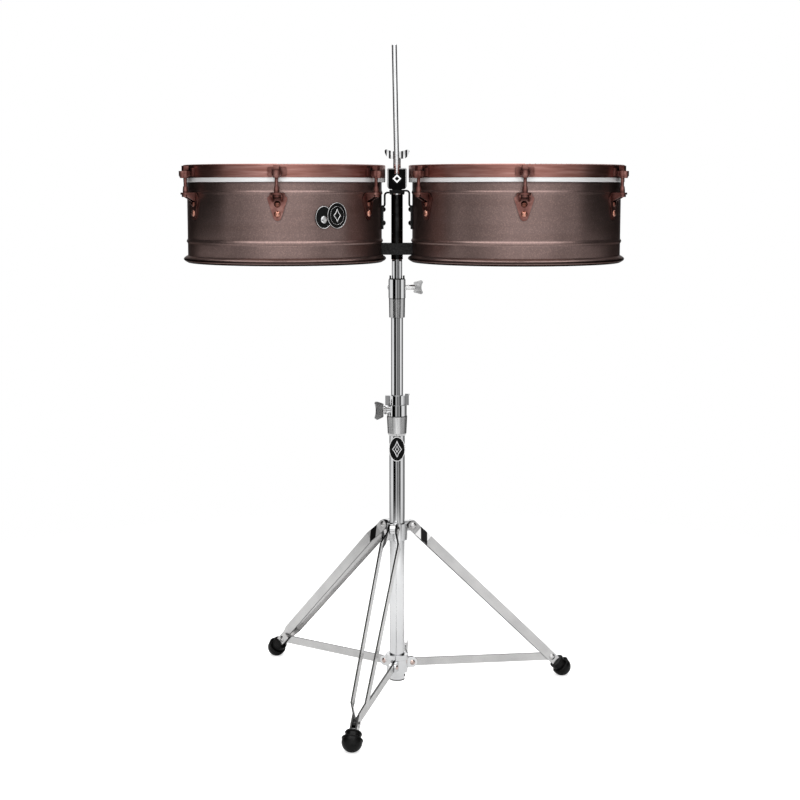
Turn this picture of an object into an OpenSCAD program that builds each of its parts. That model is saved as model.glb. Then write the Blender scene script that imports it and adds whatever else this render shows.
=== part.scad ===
// Pair of timbales, 14 and 15 inch, on a telescopic folding tripod.
// Frame: origin on the column axis at floor level, +Z up, +X towards the larger drum.
// The player stands on the -Y side.

/* [Drums] */
// Diameter of the left shell
left_d = 355.6; // [330:0.1:370]
// Diameter of the right shell
right_d = 381; // [360:0.1:406]
// Depth of both shells
shell_h = 165; // [150:1:190]
// Thickness of the shell wall
shell_t = 1.6; // [1.2:0.1:2.4]
// Distance from the column axis to each shell
shell_clearance = 28; // [27:0.5:34]
// Height of the shells' lower edge above the floor
drum_base_z = 818; // [812:1:830]
// Distance of a tension rod's axis from the shell
rod_offset = 17.5; // [16:0.5:20]
// Diameter of a tension rod
rod_d = 6; // [5:0.1:6.2]

/* [Rims] */
// Height of the rim band above the flesh hoop
rim_h = 23; // [20:1:26]
// How far the rim's outer face stands out from the shell
rim_out = 6.7; // [6:0.1:7.5]
// Height of the flesh hoop
hoop_h = 8; // [6:0.5:9]

/* [Column] */
// Outer diameter of the upper tube
upper_d = 19.05; // [19.05]
// Outer diameter of the middle tube
middle_d = 22.2; // [22.2]
// Outer diameter of the base tube
base_d = 28.6; // [28.6]
// Length of the upper tube
upper_len = 430; // [400:5:440]
// Length of the middle tube
middle_len = 461; // [440:1:470]
// Height of the lower clamp's top face
lower_clamp_top = 551.6; // [540:0.2:560]
// Height of the upper clamp's top face
upper_clamp_top = 785.6; // [775:0.2:790]

/* [Tripod] */
// Direction of the first leg, measured from +X towards +Y
first_leg_az = 17; // [0:1:40]
// Radius of the leg pivots around the column
pivot_r = 29; // [28.5:0.5:31]
// Height of the upper leg pivots
leg_pivot_z = 321; // [310:1:335]
// Radius at which brace and leg meet
outer_r = 316; // [300:1:330]
// Height at which brace and leg meet
outer_z = 40; // [39:0.5:41]
// Height of the brace pivots on the sliding hub
brace_pivot_z = 54.5; // [53:0.5:56]
// Width of the leg bars
leg_w = 18; // [16:1:18]
// Width of the braces
brace_w = 15; // [13:1:15]
// Radius of the rubber foot's round end
foot_r = 18; // [17.8:0.1:18.6]

/* [Cowbell post] */
// Diameter of the post
post_d = 9.525; // [9.525]
// Height of the post's top
post_top_z = 1210; // [1100:5:1300]
// Lean of the post towards -X, in degrees
post_lean = 1.15; // [0:0.05:3]

/* [Hidden] */
$fn = 64;
// Facets of a circle as large as a drum
drum_fn = 256;

// Tension rods on each drum
rods_per_drum = 6;
// Radial clearance of running fits
run = 0.05;
// Overlap that joins two solids, or gap that keeps them apart
eps = 0.01;

// Colours
shell_colour = [0.33, 0.29, 0.27];
rim_colour = [0.52, 0.31, 0.24];
copper = [0.62, 0.40, 0.30];
chrome = [0.80, 0.81, 0.82];
satin = [0.66, 0.66, 0.65];
black = [0.09, 0.09, 0.09];
head_colour = [0.93, 0.92, 0.88];

// Drum sides: 0 is the left drum, 1 the right drum
drum_d = [left_d, right_d];
function drum_r(side) = drum_d[side] / 2;
function drum_x(side) = (side == 0 ? -1 : 1) * (shell_clearance + drum_r(side));

// Heights on the drums
edge_z = drum_base_z + shell_h;
hoop_z = edge_z - 20;
rim_z = hoop_z + hoop_h;
rim_top_z = rim_z + rim_h;
head_t = 0.5;

// Shell profile: [height above the lower edge, half height, how far it stands out, softness]
beads = [[6.6, 6.6, 8, 0.5], [39, 5, 2.2, 1], [127, 4, 1.3, 1]];
bead_steps = 8;

// Lug geometry, heights above the drum's lower edge
shelf_top_z = drum_base_z + 126.6;
shelf_t = 3.6;
boss_h = 7.8;
lug_top_z = shelf_top_z - 1;
lug_wide_z = drum_base_z + 116.6;
lug_low_z = drum_base_z + 85.3;
lug_w = 35;
lug_tip_r = 7;
lug_plate_t = 3;
lug_nose = 8.5;
lug_bolt_zs = [drum_base_z + 107, drum_base_z + 90];
lug_bolt_r = 5.8;
lug_nut_h = 10.9;

// Claw geometry
claw_z = drum_base_z + 152;
claw_top_z = claw_z + 17.5;
claw_seat_z = claw_z + 12.5;
claw_w = 32;
claw_boss_r = 8;
claw_nose = 4.5;
rod_head_w = 9.5;
rod_head_h = 8.2;
rod_collar_h = 1;
rod_end_z = shelf_top_z - 6.4;

// Column
tube_wall = 1.6;
middle_in_r = upper_d / 2 + 0.075;
base_in_r = base_d / 2 - tube_wall;
base_bottom_z = 22.9;
base_top_z = lower_clamp_top - 16.6;
middle_top_z = upper_clamp_top - 34.6;
upper_top_z = 930;

// Head of the stand
receiver_r = 10.75;
receiver_bottom_z = 822.6;
flange_z = 940.7;
flange_t = 2;
strap_t = 3.4;
strap_w = 40;
strap_x = 24.2;
strap_low_z = 878;
block_z = 950.3;
block_w = 36;
block_h = 38.3;
block_front = -23.5;
block_back = 16;
cheek_t = 6;
cheek_out = 7.5;
stud_r = 4;
post_y = -29;
post_pivot_z = 969.5;
post_eye_t = 10.6;
post_collar_r = 5.25;
post_collar_top = 10;
strap_jog_z = 921.2;
strap_top_r = 7;
strap_low_r = 2;
hanger_bolt_zs = [913.8, 889];

// Clamps
upper_bolt_z = upper_clamp_top - 16;
upper_bolt_y = 21.5;
lower_bolt_z = lower_clamp_top - 8.6;
lower_bolt_az = 205;
clamp_ring_r = 15.7;

// Tripod: leg and brace lines in the vertical plane of each leg
leg_azs = [first_leg_az, first_leg_az + 120, first_leg_az + 240];
leg_len = norm([outer_r - pivot_r, leg_pivot_z - outer_z]);
leg_angle = atan2(outer_r - pivot_r, leg_pivot_z - outer_z);
brace_len = norm([outer_r - pivot_r, brace_pivot_z - outer_z]);
brace_angle = atan2(brace_pivot_z - outer_z, outer_r - pivot_r);
bar_t = 3;
top_gap = 6.5;
fork_gap = 3.5;
rivet_r = 4;
rivet_head_r = 6.2;
rivet_head_h = 2.6;
ear_t = 10;
ear_r = 9.5;
brace_t = 4;
brace_ear_in = 2.5;
brace_ear_t = 4;
foot_offset = 33;
foot_top = 15;
bar_end = leg_len + 28;
leg_hub_z = [295.5, 327];
brace_hub_z = [38.7, 73.4];
brace_screw_az = first_leg_az + 50;
brace_screw_z = 66;

// ---------------------------------------------------------------- helpers

// A ring or disc of revolution about Z
module ring(r_in, r_out, z0, z1) {
    translate([0, 0, z0]) difference() {
        cylinder(r = r_out, h = z1 - z0);
        if (r_in > 0) translate([0, 0, -1]) cylinder(r = r_in, h = z1 - z0 + 2);
    }
}

// Places its children on the drum's centre line, turned so that -Y points out at rod number i
module at_rod(side, i) {
    translate([drum_x(side), 0, 0]) rotate([0, 0, i * 360 / rods_per_drum]) children();
}

// Places its children on the rod's own axis
module on_rod_axis(side, i) {
    at_rod(side, i) translate([0, -drum_r(side) - rod_offset, 0]) children();
}

// Repeats its children at every rod of both drums
module all_rods() {
    for (side = [0, 1], i = [0 : rods_per_drum - 1]) {
        $side = side;
        at_rod(side, i) children();
    }
}

// A domed button head on the XY plane, dome towards +Z
module dome(r, h) {
    ball_r = (r * r + h * h) / (2 * h);
    intersection() {
        translate([0, 0, h - ball_r]) sphere(r = ball_r);
        cylinder(r = r, h = h + 1);
    }
}

// Points round c at radius r, from angle a0 to a1, in n steps
function arc(c, r, a0, a1, n) =
    [for (k = [0 : n]) let (a = a0 + (a1 - a0) * k / n) c + r * [cos(a), sin(a)]];

// Points of a smooth bend from a to c, pulled towards b
function bend(a, b, c, n) =
    [for (k = [1 : n - 1]) let (t = k / n) (1 - t) ^ 2 * a + 2 * t * (1 - t) * b + t ^ 2 * c];

// Two wings across the Z axis, thick at the tips, with a shallow notch between them
module wings(span, low, high, thick, notch, hub, tip = 3.5) {
    reach = span / 2 - tip;
    tip_arc = arc([reach, high - tip], tip, -30, 125, 10);
    valley = [0, high - notch];
    under = bend([hub, low], [0.95 * reach, low], tip_arc[0], 8);
    over = bend(tip_arc[10], [0.45 * reach, valley[1]], valley, 8);
    half = concat([[hub, low]], under, tip_arc, over);
    mirrored = [for (k = [len(half) - 1 : -1 : 0]) [-half[k][0], half[k][1]]];
    rotate([90, 0, 0]) translate([0, 0, -thick / 2]) linear_extrude(thick)
        polygon(concat(half, [valley], mirrored));
}

// Turns the leg plane (x outwards, z up) to a leg's direction
module in_leg_plane(i) {
    rotate([0, 0, leg_azs[i]]) children();
}

// Puts children along the leg: x runs down the leg from its pivot, y is sideways, z across
module along_leg(i) {
    in_leg_plane(i) translate([pivot_r, 0, leg_pivot_z]) rotate([0, 90 - leg_angle, 0]) children();
}

// Puts children along the brace: x runs outwards from the hub pivot, y is sideways
module along_brace(i) {
    in_leg_plane(i) translate([pivot_r, 0, brace_pivot_z]) rotate([0, brace_angle, 0]) children();
}

// A cylinder along Y, centred
module cross_cylinder(r, len) {
    rotate([90, 0, 0]) cylinder(r = r, h = len, center = true);
}

// ---------------------------------------------------------------- drums

// How far the shell stands out at height h above its lower edge
function bead_at(h) = max([for (b = beads)
    abs(h - b[0]) < b[1] ? b[2] * (0.5 + cos(180 * (h - b[0]) / b[1]) / 2) ^ b[3] : 0]);

// Heights at which the profile has a point
shell_hs = concat(
    [for (b = beads, k = [0 : bead_steps]) b[0] - b[1] + 2 * b[1] * k / bead_steps],
    [shell_h - 3]
);

module shell(side) {
    r = drum_r(side);
    outer = [for (h = shell_hs) [r + bead_at(h), drum_base_z + h]];
    inner = [for (k = [len(outer) - 1 : -1 : 0]) outer[k] - [shell_t, 0]];
    edge = [[r - 0.8, edge_z], [r - 2.4, edge_z - 1.6]];
    color(shell_colour) translate([drum_x(side), 0, 0]) difference() {
        rotate_extrude($fn = 128) polygon(concat(outer, edge, inner));
        for (i = [0 : rods_per_drum - 1], z = lug_bolt_zs) {
            rotate([0, 0, i * 360 / rods_per_drum]) translate([0, -r, z]) cross_cylinder(3.1, 12);
        }
        for (z = hanger_bolt_zs) {
            rotate([0, 0, side == 0 ? 90 : -90]) translate([0, -r, z]) cross_cylinder(3.1, 12);
        }
    }
}

// The film and, a hair below it, the collar that leads down to the flesh hoop
module drumhead(side) {
    r = drum_r(side);
    color(head_colour) translate([drum_x(side), 0, 0]) union() {
        ring(0, r + 2.6, edge_z, edge_z + head_t);
        ring(r + 2, r + 2.6, rim_z, edge_z - eps);
    }
}

module flesh_hoop(side) {
    r = drum_r(side);
    color(chrome) translate([drum_x(side), 0, 0]) rotate_extrude($fn = 128) polygon([
        [r + 2, hoop_z], [r + 5.6, hoop_z], [r + 6.5, hoop_z + 0.9],
        [r + 6.5, rim_z - 0.6], [r + 5.9, rim_z], [r + 2, rim_z]
    ]);
}

module rim(side) {
    r = drum_r(side);
    lip = 1.7;
    color(rim_colour) translate([drum_x(side), 0, 0]) rotate_extrude($fn = 128) union() {
        translate([r + 2.8, rim_z]) square([rim_out - 2.8, 3]);
        translate([r + rim_out - 2.4, rim_z]) square([2.4, rim_h - lip]);
        translate([r + rim_out - lip, rim_top_z - lip]) circle(r = lip, $fn = 32);
    }
}

// Outline of a claw's web and arms, seen from above from the rod's axis, up to the rim's face
module claw_outline(r, half_w, from_y) {
    difference() {
        translate([-half_w, from_y]) square([2 * half_w, rod_offset + 1 - from_y]);
        translate([0, r + rod_offset]) circle(r = r + rim_out, $fn = drum_fn);
    }
}

// A round boss with a tapered underside
module claw_boss(r) {
    taper_h = 4.5;
    translate([0, 0, claw_z]) cylinder(r1 = 0.65 * r, r2 = r, h = taper_h);
    translate([0, 0, claw_z + taper_h]) cylinder(r = r, h = claw_seat_z - claw_z - taper_h);
}

module claws() {
    color(copper) all_rods() {
        r = drum_r($side);
        translate([0, -r - rod_offset, 0]) difference() {
            union() {
                claw_boss(claw_boss_r);
                translate([0, -claw_nose, 0]) claw_boss(claw_boss_r - 1);
                translate([0, 0, claw_z + 3]) linear_extrude(claw_seat_z - claw_z - 3)
                    claw_outline(r, claw_boss_r - 0.6, 0);
                translate([0, 0, claw_z + 3]) linear_extrude(claw_top_z - claw_z - 3) difference() {
                    claw_outline(r, claw_w / 2, rod_offset - rim_out - 3.5);
                    circle(r = claw_boss_r);
                }
            }
            translate([0, 0, claw_z - 1]) cylinder(r = rod_d / 2 + 0.3, h = 30);
        }
    }
}

module tension_rod(side, i) {
    color(copper) on_rod_axis(side, i) union() {
        translate([0, 0, rod_end_z]) cylinder(r = rod_d / 2, h = claw_seat_z - rod_end_z + 2);
        translate([0, 0, claw_seat_z]) cylinder(r = 6.2, h = rod_collar_h);
        translate([-rod_head_w / 2, -rod_head_w / 2, claw_seat_z + rod_collar_h])
            cube([rod_head_w, rod_head_w, rod_head_h]);
    }
}

// Direction, from either centre, of the point where the outer tangent of two circles touches them
function tangent_angle(c1, r1, c2, r2) =
    let (d = c2 - c1) atan2(d[1], d[0]) + acos((r1 - r2) / norm(d));

// Shield of a lug, seen from the front: x across, y is height
module shield_outline() {
    corner_r = 4;
    corner = [lug_w / 2 - corner_r, lug_wide_z];
    tip = [0, lug_low_z];
    side_a = tangent_angle(corner, corner_r, tip, lug_tip_r);
    half = concat([[corner[0] - 1, lug_top_z]], arc(corner, corner_r, 80, side_a, 6));
    mirrored = [for (k = [len(half) - 1 : -1 : 0]) [-half[k][0], half[k][1]]];
    polygon(concat(half, arc(tip, lug_tip_r, side_a, -180 - side_a, 12), mirrored));
}

// Shelf of a lug, seen from above, from inside the shield plate to its round nose
module shelf_outline(r) {
    difference() {
        union() {
            translate([-10, -r - rod_offset]) square([20, rod_offset + 4]);
            intersection() {
                translate([0, -r - rod_offset + 3]) circle(r = lug_nose + 3);
                translate([-10, -r - rod_offset - 20]) square([20, 21]);
            }
        }
        circle(r = r + 1, $fn = drum_fn);
    }
}

// Room for the shell's upper bead behind a lug
module upper_bead_space(r) {
    bead = beads[2];
    z = drum_base_z + bead[0];
    ring(0, r + bead[2] + 0.1, z - bead[1] - 0.1, z + bead[1] + 0.1, $fn = drum_fn);
}

module lugs() {
    color(copper) all_rods() {
        r = drum_r($side);
        difference() {
            union() {
                intersection() {
                    ring(r, r + lug_plate_t, lug_low_z - 20, lug_top_z + 5, $fn = drum_fn);
                    translate([0, -r + 10, 0]) rotate([90, 0, 0]) linear_extrude(30) shield_outline();
                }
                translate([0, 0, shelf_top_z - shelf_t]) linear_extrude(shelf_t) shelf_outline(r);
                translate([0, -r - rod_offset, shelf_top_z - boss_h]) cylinder(r = 6.5, h = boss_h - 1);
                difference() {
                    for (s = [-1, 1]) {
                        translate([s * 8.2 - 1.25, 0, 0]) rotate([90, 0, 90]) linear_extrude(2.5) polygon([
                            [-r + 5, shelf_top_z - 1], [-r - rod_offset - 1, shelf_top_z - 1],
                            [-r - rod_offset - 1, shelf_top_z - 7], [-r + 5, shelf_top_z - 20]
                        ]);
                    }
                    cylinder(r = r + 1.5, h = 2000, $fn = drum_fn);
                }
            }
            upper_bead_space(r);
            translate([0, -r - rod_offset, rod_end_z - 0.4]) cylinder(r = rod_d / 2 + run, h = 30);
            for (z = lug_bolt_zs) translate([0, -r, z]) cross_cylinder(3.1, 12);
        }
    }
}

module lug_nuts() {
    color(copper) all_rods() {
        translate([0, -drum_r($side) - rod_offset, shelf_top_z]) difference() {
            union() {
                cylinder(r = 4.8, h = 4);
                translate([0, 0, 4]) cylinder(r1 = 4.8, r2 = 4.1, h = lug_nut_h - 4);
            }
            translate([0, 0, -1]) cylinder(r = rod_d / 2 + run, h = lug_nut_h + 2);
        }
    }
}

module lug_bolts() {
    color(copper) all_rods() {
        r = drum_r($side);
        for (z = lug_bolt_zs) {
            translate([0, -r - lug_plate_t, z]) rotate([90, 0, 0]) dome(lug_bolt_r, 3.6);
            translate([0, -r + 1, z]) cross_cylinder(3, 2 * lug_plate_t + 2);
            translate([0, -r + shell_t + 1.9, z]) cross_cylinder(5, 3);
        }
    }
}

// Two joined ovals, bent round the shell
module shell_badge() {
    badge_t = 2.2;
    badge_z = drum_base_z + 87;
    r = left_d / 2;
    color(black) translate([drum_x(0), 0, 0]) rotate([0, 0, 31]) intersection() {
        ring(r, r + badge_t, badge_z - 30, badge_z + 30, $fn = drum_fn);
        translate([0, 20 - r, badge_z]) rotate([90, 0, 0]) linear_extrude(60) union() {
            translate([-15, -3]) resize([30, 38]) circle(r = 15);
            translate([11, 0]) resize([38, 44]) circle(r = 19);
        }
    }
}

// ---------------------------------------------------------------- head of the stand

module receiver_tube() {
    color(black) difference() {
        union() {
            ring(0, receiver_r, receiver_bottom_z, flange_z);
            ring(0, 13.35, flange_z, flange_z + flange_t);
        }
        cylinder(r = upper_d / 2 + run, h = upper_top_z + 1);
        cylinder(r = stud_r + run, h = 1000);
    }
}

// Side view of one bent strap: over the top, down beside the column and out to the shell
module strap_profile(top_z) {
    top_bend = [strap_x - strap_top_r, top_z + strap_t - strap_top_r];
    low_bend = [strap_x + strap_low_r, strap_jog_z + strap_low_r];
    polygon(concat(
        [[-14, top_z + strap_t]],
        arc(top_bend, strap_top_r, 90, 0, 8),
        arc(low_bend, strap_low_r, 180, 270, 6),
        [[shell_clearance, strap_jog_z], [shell_clearance, strap_jog_z - strap_t]],
        arc(low_bend, strap_low_r + strap_t, 270, 180, 6),
        arc(top_bend, strap_top_r - strap_t, 0, 90, 8),
        [[-14, top_z]]
    ));
}

// One bent strap: side is -1 or +1, lift raises its top over the other strap
module strap(side, lift) {
    r = drum_r(side < 0 ? 0 : 1);
    cx = drum_x(side < 0 ? 0 : 1);
    difference() {
        union() {
            mirror([side < 0 ? 1 : 0, 0, 0]) translate([0, strap_w / 2, 0]) rotate([90, 0, 0])
                linear_extrude(strap_w) strap_profile(flange_z + flange_t + lift);
            intersection() {
                translate([cx, 0, 0]) ring(r, r + strap_t, strap_low_z, strap_jog_z - 1, $fn = drum_fn);
                translate([-40, -strap_w / 2, strap_low_z]) cube([80, strap_w, 60]);
            }
        }
        translate([cx, 0, 0]) cylinder(r = r, h = 2000, $fn = drum_fn);
        cylinder(r = stud_r + 0.3, h = 2000);
        for (z = hanger_bolt_zs) {
            translate([side * shell_clearance, 0, z]) rotate([0, 0, 90]) cross_cylinder(3.1, 12);
        }
    }
}

module hangers() {
    color(black) {
        strap(-1, 0);
        strap(1, strap_t);
    }
}

module hanger_bolts() {
    color(chrome) for (side = [-1, 1], z = hanger_bolt_zs) {
        translate([side * (shell_clearance - strap_t), 0, z]) rotate([0, -90 * side, 0]) dome(4.8, 4);
        translate([side * (shell_clearance + 1), 0, z]) rotate([0, 0, 90])
            cross_cylinder(3, 2 * strap_t + 2);
        translate([side * (shell_clearance + shell_t + 1.9), 0, z]) rotate([0, 0, 90]) cross_cylinder(5, 3);
    }
}

module shell_spacer() {
    spacer_z = 831.3;
    spacer_h = 21.1;
    color(black) difference() {
        translate([-34, -17, spacer_z]) cube([68, 34, spacer_h]);
        for (side = [0, 1]) translate([drum_x(side), 0, spacer_z - 1])
            cylinder(r = drum_r(side) + 0.1, h = spacer_h + 2, $fn = drum_fn);
        translate([0, 0, spacer_z - 1]) cylinder(r = receiver_r, h = spacer_h + 2);
    }
}

// Front view of the block: flat top with small corners, rounder below
module block_outline() {
    x = block_w / 2;
    top = block_z + block_h;
    right = concat(arc([x - 7, block_z + 7], 7, -90, 0, 8), arc([x - 3, top - 3], 3, 0, 90, 5));
    left = [for (k = [len(right) - 1 : -1 : 0]) [-right[k][0], right[k][1]]];
    polygon(concat(right, left));
}

module head_block() {
    depth = block_back - block_front;
    color(black) difference() {
        union() {
            translate([0, block_back, 0]) rotate([90, 0, 0]) linear_extrude(depth) block_outline();
            difference() {
                translate([0, block_front + 1, 0]) rotate([90, 0, 0]) linear_extrude(cheek_out + 1)
                    block_outline();
                translate([cheek_t - block_w / 2, block_front - 20, block_z - 1])
                    cube([block_w - 2 * cheek_t, 20, block_h + 2]);
            }
            ring(0, 9, flange_z + flange_t + 2 * strap_t, block_z + 0.1);
        }
        translate([0, 0, 900]) cylinder(r = stud_r + run, h = 200);
        translate([0, block_front + 5.9, post_pivot_z]) cross_cylinder(stud_r, 12);
    }
}

module top_wing_bolt() {
    stem_top = block_z + block_h + 17.2;
    color(satin) union() {
        translate([0, 0, upper_top_z + 3]) cylinder(r = stud_r, h = block_z + block_h - upper_top_z);
        translate([0, 0, block_z + block_h + 0.05]) cylinder(r = 7, h = 18.2);
        translate([0, 0, stem_top]) wings(46, 0, 16.8, 6, 4, 12);
    }
}

module cowbell_post() {
    eye_r = 9;
    color(chrome) translate([0, post_y, post_pivot_z]) rotate([0, -post_lean, 0]) difference() {
        union() {
            cylinder(r = post_d / 2, h = post_top_z - post_pivot_z - 3);
            translate([0, 0, post_top_z - post_pivot_z - 3]) dome(post_d / 2, 3);
            cylinder(r = post_collar_r, h = post_collar_top);
            cross_cylinder(eye_r, post_eye_t);
        }
        cross_cylinder(stud_r + run, 20);
    }
}

module cowbell_post_bolt() {
    head = 11;
    socket = 5.6;
    head_y = post_y - post_eye_t / 2 - 2.75;
    shank_from = post_y - post_eye_t / 2;
    shank_to = block_front + 11.8;
    color(chrome) translate([0, 0, post_pivot_z]) union() {
        translate([0, (shank_from + shank_to) / 2, 0]) cross_cylinder(stud_r, shank_to - shank_from);
        difference() {
            translate([0, head_y, 0]) rotate([0, 45, 0]) cube([head, 5, head], center = true);
            translate([0, head_y - 2.5, 0]) rotate([0, 45, 0]) cube([socket, 6, socket], center = true);
        }
    }
}

// ---------------------------------------------------------------- telescopic column

module upper_tube() {
    color(chrome) ring(upper_d / 2 - 1.5, upper_d / 2, upper_top_z - upper_len, upper_top_z);
}

module middle_tube() {
    color(chrome) ring(middle_in_r, middle_d / 2, middle_top_z - middle_len, middle_top_z);
}

module base_tube() {
    color(chrome) difference() {
        ring(base_in_r, base_d / 2, base_bottom_z + 2, base_top_z);
        translate([base_d / 2 - 2, 0, 30.5]) rotate([0, 90, 0]) cylinder(r = 2.5, h = 8, center = true);
    }
}

module base_tube_cap() {
    color(black) union() {
        ring(0, base_d / 2, base_bottom_z, base_bottom_z + 2);
        ring(0, base_in_r, base_bottom_z + 1.9, base_bottom_z + 14);
        translate([base_in_r - 2, 0, 30.5]) rotate([0, 90, 0]) cylinder(r = 2.5, h = 4.6);
    }
}

module upper_clamp() {
    skirt_z = upper_clamp_top - 70.4;
    color(chrome) difference() {
        union() {
            ring(0, clamp_ring_r, middle_top_z, upper_clamp_top);
            translate([0, 0, skirt_z]) cylinder(r1 = 14.4, r2 = 15, h = middle_top_z - skirt_z);
            translate([-9, 8, upper_bolt_z - 12]) cube([18, 20, 24]);
        }
        translate([0, 0, skirt_z - 1]) cylinder(r = middle_d / 2, h = middle_top_z - skirt_z + 1);
        translate([0, 0, skirt_z]) cylinder(r = upper_d / 2 + 1.5, h = 100);
        translate([-1.5, 9, middle_top_z + 2]) cube([3, 30, 60]);
        translate([0, upper_bolt_y, upper_bolt_z]) rotate([0, 90, 0])
            cylinder(r = 3 + run, h = 40, center = true);
    }
}

module upper_bushing() {
    color(black) difference() {
        union() {
            ring(upper_d / 2 + run, upper_d / 2 + 1.5, middle_top_z, upper_clamp_top);
            ring(upper_d / 2 + run, clamp_ring_r - 1, upper_clamp_top, upper_clamp_top + 1.2);
            for (s = [-1, 1]) {
                translate([s * 12.4 - 1.6, -4, upper_clamp_top + 1.1]) cube([3.2, 8, 5.8]);
            }
        }
        translate([-1, 5, middle_top_z - 1]) cube([2, 30, 60]);
    }
}

module upper_wing_bolt() {
    color(satin) translate([0, upper_bolt_y, upper_bolt_z]) rotate([0, 90, 0]) union() {
        translate([0, 0, -18]) cylinder(r = 3, h = 40);
        translate([0, 0, -16.5]) cylinder(r = 5.5, h = 7.2);
        translate([0, 0, 9.3]) cylinder(r = 5, h = 24);
        translate([0, 0, 31]) wings(26, 0, 17, 5.5, 2.5, 10);
    }
}

module memory_lock() {
    ring_h = 18;
    color(satin) translate([0, 0, lower_clamp_top]) difference() {
        union() {
            cylinder(r = 15.85, h = ring_h);
            translate([-22, -6, 0]) cube([44, 12, ring_h]);
            translate([19, 0, ring_h]) cylinder(r = 4, h = 3);
        }
        translate([0, 0, -1]) cylinder(r = middle_d / 2, h = ring_h + 2);
        translate([13, -1, -1]) cube([20, 2, ring_h + 1]);
    }
}

module lower_clamp() {
    boss_len = 13;
    chamber_z = lower_clamp_top - 2.1;
    color(satin) difference() {
        union() {
            translate([0, 0, lower_clamp_top - 57.4]) cylinder(r1 = 15.6, r2 = 17.5, h = 4.3);
            translate([0, 0, lower_clamp_top - 53.1]) cylinder(r1 = 17.5, r2 = 19, h = 32.5);
            ring(0, 18, lower_clamp_top - 20.6, lower_clamp_top);
            rotate([0, 0, lower_bolt_az]) translate([12, 0, lower_bolt_z]) rotate([0, 90, 0])
                cylinder(r = 8, h = boss_len);
        }
        translate([0, 0, 400]) cylinder(r = base_d / 2, h = chamber_z - 400);
        translate([0, 0, 400]) cylinder(r = middle_d / 2 + 0.4, h = 300);
        rotate([0, 0, lower_bolt_az]) translate([10, 0, lower_bolt_z]) rotate([0, 90, 0])
            cylinder(r = stud_r + run, h = 30);
    }
}

module lower_bushing() {
    color(black) union() {
        ring(middle_d / 2 + run, base_d / 2, base_top_z, lower_clamp_top - 2.1);
        ring(middle_d / 2 + run, base_in_r, base_top_z - 55, base_top_z + eps);
    }
}

module lower_wing_bolt() {
    color(satin) rotate([0, 0, lower_bolt_az]) translate([0, 0, lower_bolt_z]) rotate([0, 90, 0]) union() {
        translate([0, 0, base_d / 2 + 0.05]) cylinder(r = stud_r, h = 14);
        translate([0, 0, 25.1]) cylinder(r = 6.5, h = 6);
        translate([0, 0, 29]) wings(34, 0, 16, 5.5, 2.5, 12);
    }
}

module stand_badge() {
    half_w = 15.3;
    half_h = 23.25;
    centre_z = lower_clamp_top - 81.4;
    points = [for (a = [0 : 7.5 : 352.5]) [half_w * cos(a), half_h * sin(a)]];
    color(black) translate([0, -base_d / 2 + 0.6, centre_z]) difference() {
        rotate([90, 0, 0]) linear_extrude(2.4) polygon(points);
        translate([0, base_d / 2 - 0.6, -30]) cylinder(r = base_d / 2, h = 60);
    }
}

// ---------------------------------------------------------------- tripod

module leg_hub() {
    color(chrome) difference() {
        union() {
            ring(0, 19.5, leg_hub_z[0], leg_hub_z[1]);
            for (i = [0 : 2]) in_leg_plane(i) translate([pivot_r, 0, leg_pivot_z]) {
                cross_cylinder(ear_r, ear_t);
                translate([-pivot_r + 10, -ear_t / 2, -ear_r]) cube([pivot_r - 10, ear_t, 2 * ear_r]);
            }
        }
        translate([0, 0, 200]) cylinder(r = base_d / 2, h = 200);
        for (i = [0 : 2]) in_leg_plane(i) translate([pivot_r, 0, leg_pivot_z]) cross_cylinder(rivet_r, 30);
    }
}

module leg_hub_pins() {
    color(satin) for (i = [0 : 2]) in_leg_plane(i) translate([pivot_r, 0, leg_pivot_z])
        cross_cylinder(rivet_r, 2 * top_gap - 0.8);
}

// Centre line of one leg bar's inner face: [distance down the leg, half gap]
bar_path = [
    [-leg_w, top_gap], [14, top_gap], [38, 15],
    [leg_len - 36, 11], [leg_len - 16, fork_gap], [bar_end, fork_gap]
];

module leg(i) {
    outer = [for (k = [len(bar_path) - 1 : -1 : 0]) bar_path[k] + [0, bar_t]];
    color(chrome) along_leg(i) union() {
        difference() {
            intersection() {
                for (s = [0, 1]) mirror([0, s, 0]) {
                    translate([0, 0, -leg_w / 2]) linear_extrude(leg_w) polygon(concat(bar_path, outer));
                }
                union() {
                    cross_cylinder(leg_w / 2, 60);
                    translate([0, -30, -leg_w / 2]) cube([bar_end, 60, leg_w]);
                }
            }
            cross_cylinder(rivet_r, 60);
            translate([leg_len, 0, 0]) cross_cylinder(rivet_r, 60);
        }
        for (s = [-1, 1]) translate([0, s * (top_gap + bar_t / 2), 0]) {
            cross_cylinder(rivet_r, bar_t);
            translate([0, s * bar_t / 2, 0]) rotate([-90 * s, 0, 0]) dome(rivet_head_r, rivet_head_h);
        }
        translate([leg_len, 0, 0]) {
            cross_cylinder(rivet_r, 2 * (fork_gap + bar_t));
            for (s = [-1, 1]) translate([0, s * (fork_gap + bar_t), 0]) rotate([-90 * s, 0, 0])
                dome(rivet_head_r, rivet_head_h);
        }
    }
}

module foot(i) {
    color(black) difference() {
        along_leg(i) translate([leg_len, 0, 0]) rotate([0, 90, 0]) difference() {
            union() {
                translate([0, 0, foot_top]) cylinder(r = 14, h = foot_offset - foot_top);
                translate([0, 0, foot_offset - 3]) cylinder(r = foot_r, h = 4);
                intersection() {
                    translate([0, 0, foot_offset]) sphere(r = foot_r);
                    translate([0, 0, foot_offset]) cylinder(r = foot_r + 1, h = foot_r + 1);
                }
            }
            translate([-leg_w / 2, -fork_gap - bar_t, foot_top - 1])
                cube([leg_w, 2 * (fork_gap + bar_t), bar_end - leg_len - foot_top + 1]);
        }
        translate([-500, -500, -50]) cube([1000, 1000, 50]);
    }
}

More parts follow.
